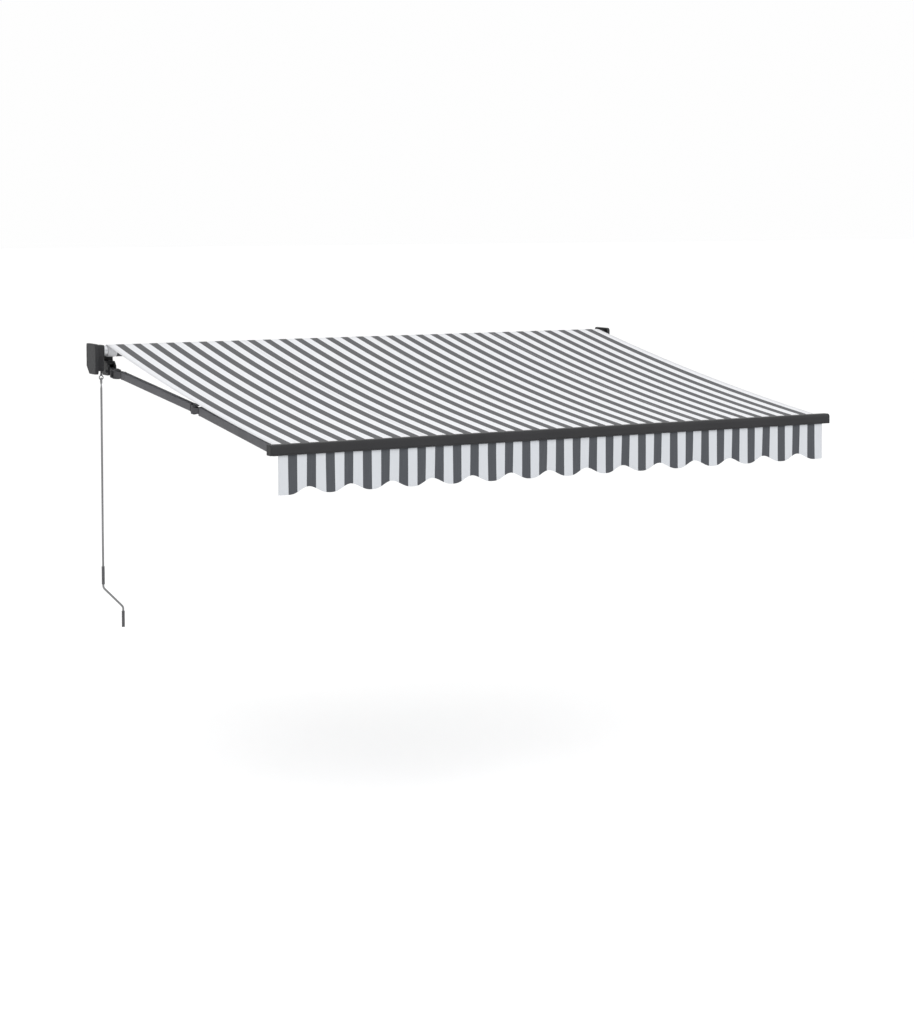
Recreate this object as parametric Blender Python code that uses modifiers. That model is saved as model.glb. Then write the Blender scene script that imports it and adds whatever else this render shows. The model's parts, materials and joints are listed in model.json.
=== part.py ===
"""Folding-arm awning: a striped fabric canopy on a roller, two elbow arms, a front bar with a scalloped valance and a hand crank.

Frame: +X to the right seen from the street, -Y out from the wall, +Z up, metres. The wall plane is Y = 0 and the
origin is the middle of the middle wall bracket's back face. Lengths below marked F are measured from the fabric's
rear edge line: x from its left corner, y = 0 over the roller's axis, z = 0 at the top of the wound roll.
"""

import bmesh
import bpy
from math import cos, pi, radians, sin, sqrt, asin, atan2
from mathutils import Matrix, Vector

# ---------------------------------------------------------------- driving dimensions
FABRIC_W = 3.80          # width of the canopy and the valance
PROJECTION = 2.52        # F, how far the canopy reaches out, level
DROP = 0.42              # F, how far it falls over that reach
SAG = 0.032              # the cloth's sag in the middle of its run
ROLL_R = 0.039           # wound roll: tube plus the turns left on it
TUBE_R = 0.035           # roller tube, outside
TUBE_T = 0.0016
CLOTH_T = 0.0012
PITCH = FABRIC_W / 32.5  # one light and one dark stripe
NOTCH_GAP = 2.25 * PITCH # spacing of the valance's upward notches
VALANCE_H = 0.222        # from the bar to the lowest scallop
SCALLOP = 0.040
BAR = 0.040              # square torsion bar
BAR_T = 0.0025
BAR_Y, BAR_Z = 0.074, -0.058   # F, centre of the torsion bar
WALL_Y = 0.115           # F, the wall plane
ARM_TILT = radians(6.65) # the arms' plane under level
SHOULDER_X = 0.030       # F, in from the fabric's edge
SHOULDER_Y, SHOULDER_Z = -0.100, -0.186
FRONT_Y = -2.480         # F, the front pivots
ELBOW_IN = 0.034         # the elbows stand this far inside a straight arm at full reach
ARM_W, ARM_H, ARM_T = 0.036, 0.050, 0.0022
FORE_W, FORE_H = 0.034, 0.055
OFFSET = 0.0205          # a profile's middle lies this far inside its pivot line, so that the arm can fold flat
EYE_R = 0.021
PIN_R = 0.0060
GAP = 0.0003
BAR_TOP, BAR_BOT = -0.4145, -0.475   # F, front bar
BAR_FRONT, BAR_REAR = -2.624, -2.572
FRONT_OVER = 0.052       # the front bar runs this far past the fabric at each end
CRANK_X, CRANK_Y = -0.056, -0.044   # F, the crank's upright axis

X0, Y0, Z0 = -FABRIC_W / 2, -WALL_Y, -BAR_Z


def W(x, y, z):
    """A point given from the fabric's rear edge line (F) in the part's own frame."""
    return Vector((x + X0, y + Y0, z + Z0))


REACH = sqrt((FRONT_Y - SHOULDER_Y) ** 2 + ((FRONT_Y - SHOULDER_Y) * sin(ARM_TILT) / cos(ARM_TILT)) ** 2)
HALF = sqrt((REACH / 2) ** 2 + ELBOW_IN ** 2)   # one half of an arm, pivot to pivot
BEND = asin(ELBOW_IN / HALF)
FRONT_Z = SHOULDER_Z + (FRONT_Y - SHOULDER_Y) * sin(ARM_TILT) / cos(ARM_TILT)

# ---------------------------------------------------------------- scene set-up
for old in list(bpy.data.objects):
    bpy.data.objects.remove(old, do_unlink=True)
home = bpy.data.collections.new("folding_arm_awning")
bpy.context.scene.collection.children.link(home)
tools = bpy.data.collections.new("cutters")
bpy.context.scene.collection.children.link(tools)


def material(name, colour, rough, metal):
    m = bpy.data.materials.new(name)
    m.use_nodes = True
    s = m.node_tree.nodes["Principled BSDF"]
    s.inputs["Base Color"].default_value = (*colour, 1)
    s.inputs["Roughness"].default_value = rough
    s.inputs["Metallic"].default_value = metal
    return m


MAT = {
    "anthracite": material("anthracite", (0.055, 0.056, 0.060), 0.45, 0.2),
    "arm_grey": material("arm_grey", (0.105, 0.105, 0.110), 0.42, 0.2),
    "black_plastic": material("black_plastic", (0.022, 0.022, 0.024), 0.5, 0.0),
    "steel": material("steel", (0.55, 0.56, 0.57), 0.35, 1.0),
    "crank_grey": material("crank_grey", (0.30, 0.30, 0.31), 0.4, 0.4),
    "alu": material("alu", (0.70, 0.71, 0.72), 0.35, 1.0),
    "cloth": material("cloth", (0.80, 0.80, 0.80), 0.85, 0.0),
    "nylon": material("nylon", (0.62, 0.60, 0.54), 0.5, 0.0),
}


def empty(name, matrix):
    e = bpy.data.objects.new(name, None)
    home.objects.link(e)
    e.empty_display_size = 0.05
    e.matrix_world = matrix
    return e


def add(name, bm, mat, parent=None, bevel=0.0, smooth=False, place=None, segs=1):
    """One named object from a bmesh; a cutter when mat is None."""
    me = bpy.data.meshes.new(name)
    if place is not None:
        bmesh.ops.transform(bm, matrix=place, verts=bm.verts)
    bmesh.ops.recalc_face_normals(bm, faces=bm.faces)
    bm.to_mesh(me)
    bm.free()
    o = bpy.data.objects.new(name, me)
    (home if mat else tools).objects.link(o)
    if mat:
        me.materials.append(MAT[mat])
        if bevel:
            b = o.modifiers.new("edge", "BEVEL")
            b.width, b.segments, b.limit_method, b.angle_limit = bevel, segs, "ANGLE", radians(40)
        if smooth:
            me.shade_smooth()
            me.set_sharp_from_angle(angle=radians(35))
    else:
        o.hide_render = True
        o.display_type = "WIRE"
    if parent:
        o.parent = parent
    return o


def cube(lo, hi):
    bm = bmesh.new()
    bmesh.ops.create_cube(bm, size=1.0)
    lo, hi = Vector(lo), Vector(hi)
    for v in bm.verts:
        v.co = Vector((lo[i] + (v.co[i] + 0.5) * (hi[i] - lo[i]) for i in range(3)))
    return bm


def rod(r, a, b, n=20, r2=None):
    """A cylinder, or a cone with r2, from point a to point b."""
    a, b = Vector(a), Vector(b)
    bm = bmesh.new()
    bmesh.ops.create_cone(bm, cap_ends=True, segments=n, radius1=r, radius2=r if r2 is None else r2, depth=(b - a).length)
    turn = Vector((0, 0, 1)).rotation_difference(b - a).to_matrix().to_4x4()
    bmesh.ops.transform(bm, matrix=Matrix.Translation((a + b) / 2) @ turn, verts=bm.verts)
    return bm


def outline(name, loops, depth, mat, parent=None, place=None, bevel=0.0, smooth=False):
    """A flat outline, with holes, as a filled 2D curve with thickness, made a mesh. The outline lies in XY and the thickness along Z."""
    cu = bpy.data.curves.new(name, "CURVE")
    cu.dimensions, cu.fill_mode, cu.extrude = "2D", "BOTH", depth / 2
    for pts in loops:
        s = cu.splines.new("POLY")
        s.points.add(len(pts) - 1)
        for p, q in zip(s.points, pts):
            p.co = (q[0], q[1], 0, 1)
        s.use_cyclic_u = True
    o = bpy.data.objects.new(name + "_outline", cu)
    home.objects.link(o)
    me = bpy.data.meshes.new_from_object(o.evaluated_get(bpy.context.evaluated_depsgraph_get()))
    bm = bmesh.new()
    bm.from_mesh(me)
    bmesh.ops.remove_doubles(bm, verts=bm.verts, dist=1e-5)
    bpy.data.objects.remove(o, do_unlink=True)
    bpy.data.curves.remove(cu)
    bpy.data.meshes.remove(me)
    return add(name, bm, mat, parent, bevel, smooth, place)


def cut(target, cutter, how="DIFFERENCE"):
    m = target.modifiers.new(how.lower(), "BOOLEAN")
    m.operation, m.object, m.solver = how, cutter, "EXACT"
    return target


def arc(cx, cy, r, a0, a1, n):
    return [(cx + r * cos(radians(a0 + (a1 - a0) * i / n)), cy + r * sin(radians(a0 + (a1 - a0) * i / n))) for i in range(n + 1)]


def circle(cx, cy, r, n=16):
    return [(cx + r * cos(2 * pi * i / n), cy + r * sin(2 * pi * i / n)) for i in range(n)]


def rounded(w, h, r, cx=0.0, cy=0.0, n=2):
    pts = []
    for sx, sy, a in ((1, 1, 0), (-1, 1, 90), (-1, -1, 180), (1, -1, 270)):
        pts += arc(cx + sx * (w / 2 - r), cy + sy * (h / 2 - r), r, a, a + 90, n)
    return pts


# An outline's XY as the frame's YZ, with its thickness along X
YZ = Matrix(((0, 0, 1, 0), (1, 0, 0, 0), (0, 1, 0, 0), (0, 0, 0, 1)))
# An outline's XY as the frame's XZ, with its thickness along Y
XZ = Matrix(((1, 0, 0, 0), (0, 0, -1, 0), (0, 1, 0, 0), (0, 0, 0, 1)))


def at(x, y, z):
    return Matrix.Translation(W(x, y, z))


MID = FABRIC_W / 2

# ---------------------------------------------------------------- torsion bar and wall brackets
BAR_A, BAR_B = -0.093, FABRIC_W + 0.055     # F, its ends, inside the end plates
outline("torsion_bar", [rounded(BAR, BAR, 0.003), rounded(BAR - 2 * BAR_T, BAR - 2 * BAR_T, 0.0015)], BAR_B - BAR_A, "anthracite",
        place=at((BAR_A + BAR_B) / 2, BAR_Y, BAR_Z) @ YZ, smooth=True)

h = BAR / 2 + GAP
for tag, x in (("left", 0.42), ("middle", MID), ("right", FABRIC_W - 0.42)):
    # one casting: back plate, shelf under the bar, hooked lip over its top
    back, t = WALL_Y - BAR_Y, 0.008
    side = [(back, -0.052), (back, 0.052), (back - t, 0.052), (back - t - 0.003, h + 0.012), (-h + 0.002, h + 0.009), (-h - 0.006, h + 0.004),
            (-h - 0.006, h - 0.010), (-h, h - 0.010), (-h, h), (h, h), (h, -h), (-h + 0.004, -h), (-h + 0.001, -h - 0.004), (-h + 0.001, -h - 0.010),
            (back - t - 0.003, -h - 0.014), (back - t, -0.052)]
    b = outline("wall_bracket_" + tag, [side], 0.110, "anthracite", place=at(x, BAR_Y, BAR_Z) @ YZ)
    for i, (dx, dz) in enumerate(((-0.037, 0.038), (0.037, 0.038), (-0.037, -0.038), (0.037, -0.038))):
        p = W(x + dx, WALL_Y, BAR_Z + dz)
        cut(b, add(f"hole_{tag}_{i}", rod(0.0055, p + Vector((0, 0.02, 0)), p - Vector((0, 0.03, 0)), 12), None))
    # the bolt through the shelf that pins the bar
    p = W(x, BAR_Y - 0.004, BAR_Z - h)
    cut(b, add(f"bolt_way_{tag}", rod(0.0043, p - Vector((0, 0, 0.03)), p + Vector((0, 0, 0.001)), 12), None))
    bolt = add("bracket_bolt_" + tag, rod(0.0040, p - Vector((0, 0, 0.0150)), p - Vector((0, 0, 0.0004)), 12), "steel")
    head = add(f"bolt_head_{tag}", rod(0.0075, p - Vector((0, 0, 0.0205)), p - Vector((0, 0, 0.0148)), 6), None)
    cut(bolt, head, "UNION")

# ---------------------------------------------------------------- roller
ax = lambda x, r=0, a=0: W(x, 0, -ROLL_R)
TUBE_A, TUBE_B = -0.031, FABRIC_W + 0.010
outline("roller_tube", [circle(0, 0, TUBE_R, 28), circle(0, 0, TUBE_R - TUBE_T, 28)], TUBE_B - TUBE_A, "alu",
        place=at((TUBE_A + TUBE_B) / 2, 0, -ROLL_R) @ YZ, smooth=True)
outline("fabric_roll", [circle(0, 0, ROLL_R, 28), circle(0, 0, TUBE_R + GAP, 28)], FABRIC_W, "cloth",
        place=at(MID, 0, -ROLL_R) @ YZ, smooth=True)
# drive plug: a drum in the tube's mouth, a flange and the square drive shaft; the worm wheel sits on the shaft
plug = add("roller_plug_left", rod(TUBE_R - TUBE_T - GAP, ax(TUBE_A - 0.0003), ax(TUBE_A + 0.05), 28), "nylon")
cut(plug, add("plug_flange", rod(TUBE_R - 0.001, ax(TUBE_A - 0.0043), ax(TUBE_A - 0.0003), 28), None), "UNION")
cut(plug, add("plug_shaft", rod(0.0070, ax(-0.0810), ax(TUBE_A - 0.002), 16), None), "UNION")
plug = add("roller_plug_right", rod(TUBE_R - TUBE_T - GAP, ax(TUBE_B - 0.05), ax(TUBE_B + 0.0003), 28), "nylon")
cut(plug, add("plug_flange_r", rod(TUBE_R - 0.001, ax(TUBE_B + 0.0003), ax(TUBE_B + 0.0043), 28), None), "UNION")
cut(plug, add("plug_axle_r", rod(0.0080, ax(TUBE_B + 0.002), ax(FABRIC_W + 0.0400), 16), None), "UNION")

# ---------------------------------------------------------------- end plates and gearbox
PL_Y0, PL_Y1, PL_Z0, PL_Z1 = -0.064, 0.104, -0.188, 0.009   # F, the end plates' edges
PL_OUT = {"left": 0.100, "right": 0.062}   # F, their outer faces stand this far past the fabric; the gearbox needs the room on the left


def plate(inset=0.0):
    """The end plate's outline in YZ, or the pocket inside its rim."""
    i = inset
    return (arc(PL_Y1 - 0.012, PL_Z1 - 0.012, 0.012 - i, 0, 90, 3) + arc(PL_Y0 + 0.020, PL_Z1 - 0.020, 0.020 - i, 90, 180, 4)
            + arc(PL_Y0 + 0.016, PL_Z0 + 0.016, 0.016 - i, 180, 270, 4) + [(PL_Y1 - 0.050 - 0.4 * i, PL_Z0 + i), (PL_Y1 - i, PL_Z0 + 0.050 + 0.4 * i)])


for tag, s in (("left", -1), ("right", 1)):
    edge = 0 if s < 0 else FABRIC_W
    p = outline("end_plate_" + tag, [plate()], 0.020, "anthracite", place=at(edge + s * (PL_OUT[tag] - 0.010), 0, 0) @ YZ, bevel=0.0012)
    cut(p, outline("pocket_" + tag, [plate(0.005)], 0.020, None, place=at(edge + s * (PL_OUT[tag] - 0.016), 0, 0) @ YZ))

GB_A, GB_M, GB_B = -0.0935, -0.0410, -0.0362   # F, gearbox housing, its split line and its cover's face
WHEEL_R, WORM_R = 0.0335, 0.0078
SHELL = rounded(0.094, 0.085, 0.016, -0.0115, -0.0405, 3)
gb = outline("gearbox_housing", [SHELL], GB_M - GB_A, "black_plastic", place=at((GB_A + GB_M) / 2, 0, 0) @ YZ)
cut(gb, add("gear_leg", cube(W(GB_A, -0.0560, -0.1660), W(GB_M - 0.0006, 0.0340, -0.0700)), None), "UNION")
cut(gb, add("gear_room", rod(WHEEL_R + 0.0020, ax(-0.0640), ax(-0.0350), 28), None))
cut(gb, add("shaft_bearing", rod(0.0073, ax(-0.0840), ax(-0.0450), 16), None))
cut(gb, add("worm_room", rod(WORM_R + 0.0008, W(CRANK_X, CRANK_Y, -0.0700), W(CRANK_X, CRANK_Y, -0.0080), 20), None))
cut(gb, add("worm_neck", rod(0.0058, W(CRANK_X, CRANK_Y, -0.1700), W(CRANK_X, CRANK_Y, -0.0600), 16), None))
outline("gearbox_cover", [SHELL, circle(0, -ROLL_R, 0.0073, 16)], GB_B - GB_M - GAP, "black_plastic",
        place=at((GB_B + GB_M + GAP) / 2, 0, 0) @ YZ, bevel=0.0012)
TEETH = 22
wheel = []
for i in range(TEETH):
    for r, k in ((WHEEL_R - 0.0032, -0.34), (WHEEL_R, -0.16), (WHEEL_R, 0.16), (WHEEL_R - 0.0032, 0.34)):
        a = 2 * pi * (i + k) / TEETH
        wheel.append((r * cos(a), r * sin(a) - ROLL_R))
outline("worm_wheel", [wheel, circle(0, -ROLL_R, 0.0073, 16)], 0.0130, "steel", place=at(CRANK_X, 0, 0) @ YZ)

# right: the roller's axle runs in a bearing block inside the end plate
outline("bearing_block_right", [rounded(0.062, 0.066, 0.012, 0.0, -ROLL_R, 3), circle(0, -ROLL_R, 0.0083, 18)], 0.0354, "black_plastic",
        place=at(FABRIC_W + 0.0380, 0, 0) @ YZ, bevel=0.001)

# ---------------------------------------------------------------- crank drive and crank
EYE_Z = -0.208           # F, middle of the ring under the gearbox


def ring(name, r_mid, r_wire, matrix, n=20):
    cu = bpy.data.curves.new(name, "CURVE")
    cu.dimensions, cu.bevel_depth, cu.bevel_resolution = "3D", r_wire, 1
    s = cu.splines.new("POLY")
    s.points.add(n - 1)
    for i, p in enumerate(s.points):
        p.co = (r_mid * cos(2 * pi * i / n), r_mid * sin(2 * pi * i / n), 0, 1)
    s.use_cyclic_u = True
    return tube_mesh(name, cu, None, matrix)


def tube_mesh(name, cu, mat, matrix=None, parent=None):
    """A bevelled curve made a mesh with welded caps."""
    o = bpy.data.objects.new(name + "_path", cu)
    home.objects.link(o)
    me = bpy.data.meshes.new_from_object(o.evaluated_get(bpy.context.evaluated_depsgraph_get()))
    bm = bmesh.new()
    bm.from_mesh(me)
    bmesh.ops.remove_doubles(bm, verts=bm.verts, dist=1e-5)
    bpy.data.objects.remove(o, do_unlink=True)
    bpy.data.curves.remove(cu)
    bpy.data.meshes.remove(me)
    return add(name, bm, mat, parent, smooth=True, place=matrix)


worm = add("worm_shaft", rod(WORM_R, W(CRANK_X, CRANK_Y, -0.0675), W(CRANK_X, CRANK_Y, -0.0095), 16), "steel")
cut(worm, add("worm_spindle", rod(0.0053, W(CRANK_X, CRANK_Y, -0.1930), W(CRANK_X, CRANK_Y, -0.0600), 14), None), "UNION")
cut(worm, add("spindle_foot", rod(0.0068, W(CRANK_X, CRANK_Y, -0.1975), W(CRANK_X, CRANK_Y, -0.1870), 14), None), "UNION")
cut(worm, ring("eye", 0.0132, 0.0030, at(CRANK_X, CRANK_Y, EYE_Z) @ XZ), "UNION")


def fillet(points, radii, n=4):
    """A path through points with its corners rounded to radii."""
    out = [Vector(points[0])]
    for a, b, c, r in zip(points, points[1:], points[2:], radii):
        a, b, c = Vector(a), Vector(b), Vector(c)
        u, v = (a - b).normalized(), (c - b).normalized()
        half = u.angle(v) / 2
        back = r / math_tan(half)
        mid = b + (u + v).normalized() * (r / sin(half))
        p, q = b + u * back - mid, b + v * back - mid
        for i in range(n + 1):
            out.append(mid + p.lerp(q, i / n).normalized() * r)
    return out + [Vector(points[-1])]


def math_tan(x):
    return sin(x) / cos(x)


CR_X = 0.136             # the handle stands this far off the crank's axis
G1A, G1B, G2A, G2B = -1.4420, -1.5600, -1.7460, -1.8520   # F, the two grips' ends
arch = 0.0090
hook = [(0, -arch, EYE_Z - 0.0132 - 0.026)] + [(0, -arch * cos(radians(a)), EYE_Z - 0.0132 + arch * sin(radians(a))) for a in range(0, 181, 30)]
hook += [(0, arch, EYE_Z - 0.0132 - 0.016), (0, 0.0045, EYE_Z - 0.0132 - 0.027), (0, 0, EYE_Z - 0.0132 - 0.038)]
lower = fillet([(0, 0, EYE_Z - 0.07), (0, 0, -1.5820), (CR_X, 0, -1.7200), (CR_X, 0, G2B + 0.006)], [0.030, 0.030])
cu = bpy.data.curves.new("crank_rod", "CURVE")
cu.dimensions, cu.bevel_depth, cu.bevel_resolution, cu.use_fill_caps = "3D", 0.0070, 2, True
path = [(p, 0.585) for p in hook] + [(p, 1.0) for p in lower]
sp = cu.splines.new("POLY")
sp.points.add(len(path) - 1)
for p, (q, k) in zip(sp.points, path):
    p.co, p.radius = (*q, 1), k
crank_axis = empty("crank_axis", at(CRANK_X, CRANK_Y, 0))
tube_mesh("crank_rod", cu, "crank_grey", None, crank_axis)
for name, x, za, zb in (("crank_sleeve", 0.0, G1A, G1B), ("crank_handle", CR_X, G2A, G2B)):
    grip_axis = empty(name + "_axis", at(CRANK_X + x, CRANK_Y, 0))
    g = add(name, rod(0.0100, (0, 0, zb), (0, 0, za), 18), "black_plastic", grip_axis, bevel=0.0015)
    cut(g, add(name + "_way", rod(0.0075, (0, 0, zb - 0.01), (0, 0, za + 0.01), 16), None, grip_axis))

# ---------------------------------------------------------------- arms
TILT = Matrix.Rotation(ARM_TILT, 4, "X")


def eye_plan(r, w, off, reach, sign):
    """Plan outline of an arm casting: round about its pivot at (0, 0), as wide as the profile where it meets it at y = -reach."""
    a, b = sign * (off - w / 2), sign * (off + w / 2)
    pts = [(b, -reach), (b, -0.012)] + [(sign * r * cos(radians(t)), r * sin(radians(t))) for t in range(-10, 191, 25)] + [(a, -reach + 0.002), (a, -reach)]
    return pts if sign > 0 else pts[::-1]


CASTING = 0.060          # from a pivot to the start of the profile
PLUG = 0.030             # a casting's plug inside the profile


def casting(name, parent, sign, w, h, wall, flip, thick, slot=None, hole=PIN_R + GAP):
    """An eye, or a fork where slot is given, with a plug that enters the profile. It points to -Y, or to +Y with flip."""
    turn = Matrix.Scale(-1, 4, (0, 1, 0)) if flip else Matrix.Identity(4)
    off = OFFSET
    o = outline(name, [eye_plan(EYE_R, w - 0.001, off, CASTING - GAP, sign), circle(0, 0, hole, 16)], thick, "anthracite", parent, place=turn)
    pw, ph = w - 2 * wall - 0.0034, h - 2 * wall - 0.0034
    lo, hi = (sign * off - pw / 2, -CASTING - PLUG, -min(ph, thick) / 2), (sign * off + pw / 2, -CASTING + 0.004, min(ph, thick) / 2)
    cut(o, add(name + "_plug", cube(lo, hi), None, parent, place=turn), "UNION")
    if slot:
        cut(o, add(name + "_slot", cube((-0.07, -0.046, -slot / 2), (0.07, 0.07, slot / 2)), None, parent, place=turn))
    return o


def pin(name, parent, half, head, r=PIN_R, mat="steel"):
    """A pivot pin with a head above and a clip collar below."""
    o = add(name, rod(r, (0, 0, -half - head), (0, 0, half + 0.001), 16), mat, parent)
    cut(o, add(name + "_head", rod(r * 1.75, (0, 0, half + GAP), (0, 0, half + GAP + head), 16), None, parent), "UNION")
    cut(o, add(name + "_clip", rod(r * 1.45, (0, 0, -half - head), (0, 0, -half - GAP), 16), None, parent), "UNION")
    return o


def profile(name, parent, sign, w, h, wall, mat):
    """A hollow arm profile between its two castings, softly rounded, open at both ends."""
    length = HALF - 2 * CASTING
    place = Matrix.Translation((sign * OFFSET, -HALF / 2, 0)) @ Matrix(((1, 0, 0, 0), (0, 0, -1, 0), (0, 1, 0, 0), (0, 0, 0, 1)))
    return outline(name, [rounded(w, h, 0.007, n=3), rounded(w - 2 * wall, h - 2 * wall, 0.0048, n=3)], length, mat, parent, place=place, smooth=True)


for tag, s in (("left", 1), ("right", -1)):
    sx = SHOULDER_X if s > 0 else FABRIC_W - SHOULDER_X
    # mount on the torsion bar: a closed socket round the bar and two cheeks below it
    side = [(0.1030, -0.0290), (0.0465, -0.0290), (0.0465, -0.0920), (0.0440, -0.1080), (0.0120, -0.1080), (-0.0140, -0.1350), (-0.0190, -0.1560),
            (-0.0190, -0.1880), (-0.0090, -0.2000), (0.0780, -0.2000), (0.1030, -0.1750)]
    m = outline("shoulder_mount_" + tag, [side, rounded(BAR + 2 * GAP, BAR + 2 * GAP, 0.003, BAR_Y, BAR_Z)], 0.060, "anthracite", place=at(sx, 0, 0) @ YZ)
    cut(m, add("cheek_gap_" + tag, cube(W(sx - 0.0180, -0.040, -0.230), W(sx + 0.0180, 0.0450, -0.1260)), None))
    bolt_at = W(sx, 0.0060, -0.1736)
    reach = Vector((1, 0, 0))
    cut(m, add("bolt_bore_" + tag, rod(0.0063, bolt_at - reach * 0.05, bolt_at + reach * 0.05, 16), None))
    cut(m, add("screw_bore_" + tag, rod(0.0043, W(sx, 0.0290, -0.1400), W(sx, 0.0290, -0.1000), 12), None))
    # tilting head: a tongue between the cheeks and the fork that holds the arm
    base = empty("shoulder_plane_" + tag, at(sx, SHOULDER_Y, SHOULDER_Z) @ TILT)
    fork = [(-0.0270, 0.0500)] + [(0.0270 * cos(radians(t)), 0.0270 * sin(radians(t))) for t in range(180, 361, 20)] + [(0.0270, 0.0500)]
    hd = outline("shoulder_head_" + tag, [fork, circle(0, 0, PIN_R + GAP, 16)], 0.0560, "anthracite", base)
    cut(hd, add("fork_gap_" + tag, cube((-0.05, -0.05, -0.0205), (0.05, 0.0405, 0.0205)), None, base))
    cut(hd, add("tongue_" + tag, cube((-0.0176, 0.0450, -0.0220), (0.0176, 0.1380, 0.0220)), None, base), "UNION")
    cut(hd, add("tongue_bore_" + tag, rod(0.0063, bolt_at - reach * 0.05, bolt_at + reach * 0.05, 16), None))
    b = add("tilt_bolt_" + tag, rod(0.0060, bolt_at - reach * 0.0400, bolt_at + reach * 0.0310, 16), "steel")
    cut(b, add("tilt_head_" + tag, rod(0.0100, bolt_at + reach * 0.0303, bolt_at + reach * 0.0370, 6), None), "UNION")
    cut(b, add("tilt_nut_" + tag, rod(0.0100, bolt_at - reach * 0.0380, bolt_at - reach * 0.0303, 6), None), "UNION")
    b = add("tilt_screw_" + tag, rod(0.0040, W(sx, 0.0290, -0.1482), W(sx, 0.0290, -0.1030), 12), "steel")
    cut(b, add("tilt_screw_head_" + tag, rod(0.0072, W(sx, 0.0290, -0.1077), W(sx, 0.0290, -0.1015), 6), None), "UNION")
    pin("shoulder_pin_" + tag, base, 0.0280, 0.0035)

    # upper arm: its frame turns on the shoulder pivot and runs along -Y to the elbow
    up = empty("upper_arm_axis_" + tag, at(sx, SHOULDER_Y, SHOULDER_Z) @ TILT @ Matrix.Rotation(s * BEND, 4, "Z"))
    profile("upper_arm_profile_" + tag, up, s, ARM_W, ARM_H, ARM_T, "arm_grey")
    casting("shoulder_eye_" + tag, up, s, ARM_W, ARM_H, ARM_T, False, 0.0404, hole=PIN_R + 0.0004)
    el = empty("elbow_end_" + tag, up.matrix_world @ Matrix.Translation((0, -HALF, 0)))
    casting("elbow_fork_" + tag, el, s, ARM_W, ARM_H, ARM_T, True, 0.0500, slot=0.0350)
    pin("elbow_pin_" + tag, el, 0.0250, 0.0040)
    # the tension spring, close wound, and the cable from it towards the elbow
    a, b = Vector((s * OFFSET, -0.130, 0)), Vector((s * OFFSET, -0.860, 0))
    sp_o = add("arm_spring_" + tag, rod(0.0110, b, a, 18), "steel", up, smooth=True)
    cut(sp_o, add("spring_way_" + tag, rod(0.0080, b - Vector((0, 0.01, 0)), a + Vector((0, 0.01, 0)), 12), None, up))
    add("arm_cable_" + tag, rod(0.0025, (s * OFFSET, -HALF + CASTING + PLUG + 0.001, 0), (s * OFFSET, -0.8000, 0), 10), "steel", up)

    # forearm: from the elbow back out to the front pivot
    fa = empty("forearm_axis_" + tag, Matrix.Translation(el.matrix_world.translation) @ TILT @ Matrix.Rotation(-s * BEND, 4, "Z"))
    profile("forearm_profile_" + tag, fa, s, FORE_W, FORE_H, ARM_T, "arm_grey")
    casting("elbow_eye_" + tag, fa, s, FORE_W, FORE_H, ARM_T, False, 0.0342, hole=PIN_R + 0.0004)
    fe = empty("forearm_end_" + tag, fa.matrix_world @ Matrix.Translation((0, -HALF, 0)))
    casting("front_eye_" + tag, fe, s, FORE_W, FORE_H, ARM_T, True, 0.0244, hole=PIN_R + (0.0004 if s > 0 else 0.0010))

    # front bracket on the bar: fork, web and a flange against the bar's back
    fr = empty("front_axis_" + tag, at(sx, FRONT_Y, FRONT_Z) @ TILT)
    y0 = FRONT_Y - BAR_REAR - GAP
    fork = [(0.0230, -y0 + 0.0035)] + [(0.0230 * cos(radians(t)), 0.0230 * sin(radians(t))) for t in range(0, 181, 20)] + [(-0.0230, -y0 + 0.0035)]
    fb = outline("front_bracket_" + tag, [fork, circle(0, 0, PIN_R + GAP, 16)], 0.0360, "anthracite", fr)
    cut(fb, add("front_gap_" + tag, cube((-0.05, -0.0420, -0.0126), (0.05, 0.05, 0.0126)), None, fr))
    cut(fb, add("front_foot_" + tag, cube(W(sx - 0.05, -2.5800, -0.5200), W(sx + 0.05, -2.5300, -0.4748)), None))
    cut(fb, add("front_flange_" + tag, cube(W(sx - 0.038, BAR_REAR + GAP, -0.4735), W(sx + 0.038, BAR_REAR + 0.0065, -0.4290)), None), "UNION")
    pin("front_pin_" + tag, fr, 0.0180, 0.0030)

# ---------------------------------------------------------------- front bar
cy, cz, cr, ch = -2.5805, -0.4271, 0.0045, 0.0017     # F, channel that holds the canopy's front rod
vy, vz, vr, vh = -2.6120, -0.4660, 0.0040, 0.0014     # F, channel that holds the valance's rod
c0 = 20.8
shell = [(BAR_REAR, -0.4165), (BAR_REAR - 0.002, BAR_TOP)] + arc(-2.6060, BAR_TOP - 0.018, 0.0180, 90, 180, 4)
shell += [(BAR_FRONT, -0.4650), (BAR_FRONT + 0.0026, -0.4672), (BAR_FRONT + 0.0026, BAR_BOT), (vy - vh, BAR_BOT)]
shell += arc(vy, vz, vr, 249.5, -69.5, 9) + [(vy + vh, BAR_BOT), (BAR_REAR - 0.003, BAR_BOT), (BAR_REAR, -0.4720), (BAR_REAR, cz - ch)]
shell += arc(cy, cz, cr, -c0, -360 + c0, 9) + [(BAR_REAR, cz + ch)]
hollow = [(-2.5885, -0.4177), (-2.6030, -0.4177), (-2.6205, -0.4350), (-2.6205, -0.4570), (-2.6040, -0.4570), (-2.6040, -0.4718), (-2.5755, -0.4718),
          (-2.5755, -0.4355), (-2.5885, -0.4355)]
BL = FABRIC_W + 2 * FRONT_OVER - 0.008
outline("front_bar", [shell, hollow], BL, "anthracite", place=at(MID, 0, 0) @ YZ, smooth=True)
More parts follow.
